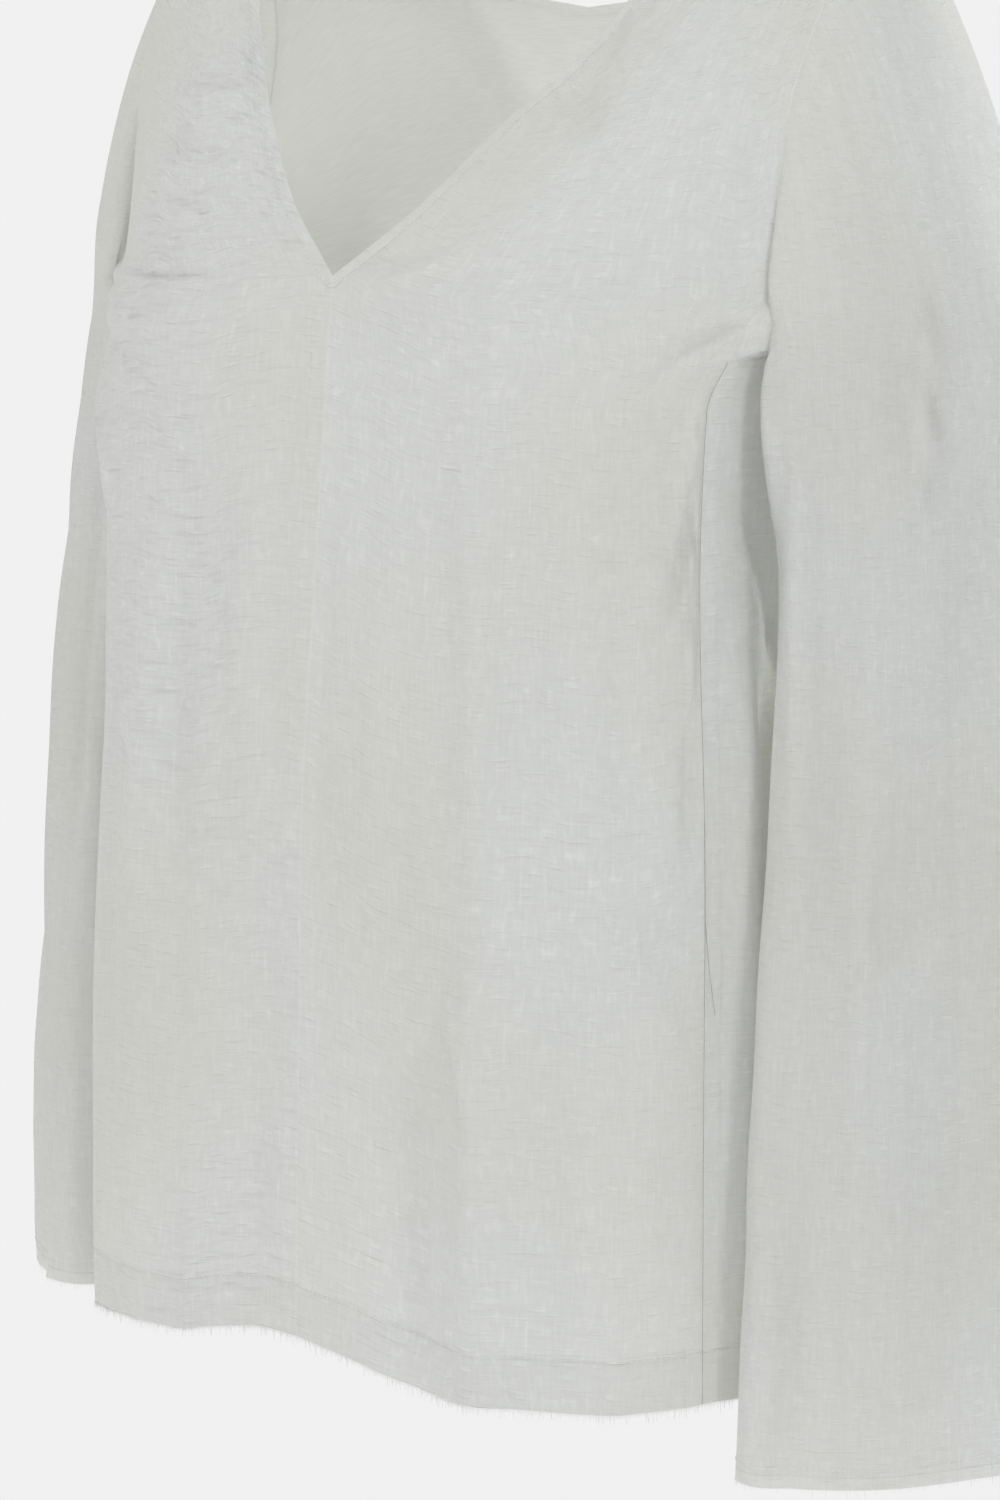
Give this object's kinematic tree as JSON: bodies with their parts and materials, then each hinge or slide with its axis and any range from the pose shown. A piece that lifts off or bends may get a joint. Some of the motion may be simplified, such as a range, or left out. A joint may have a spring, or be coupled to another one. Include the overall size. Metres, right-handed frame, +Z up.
{
  "type": "v-neck top",
  "caption": "Loose long-sleeved v-neck top of sheer woven linen with a seam down the middle of the front and a raw hem, worn and hollow.",
  "frame": {"origin": "midway between the two ends of the neck on the line of the shoulder seams, where the wearer's shoulders hold the top up", "axes": "+Z up the body, -Y out of the front, +X towards the wearer's left sleeve"},
  "size_m": [0.6394, 0.2744, 0.7323],
  "materials": {
    "linen": "matte sheer plain weave, undyed grey-white"
  },
  "bodies": {
    "root": {"front_left": "linen", "front_right": "linen", "back": "linen", "sleeve_left": "linen", "sleeve_right": "linen"}
  },
  "joints": []
}
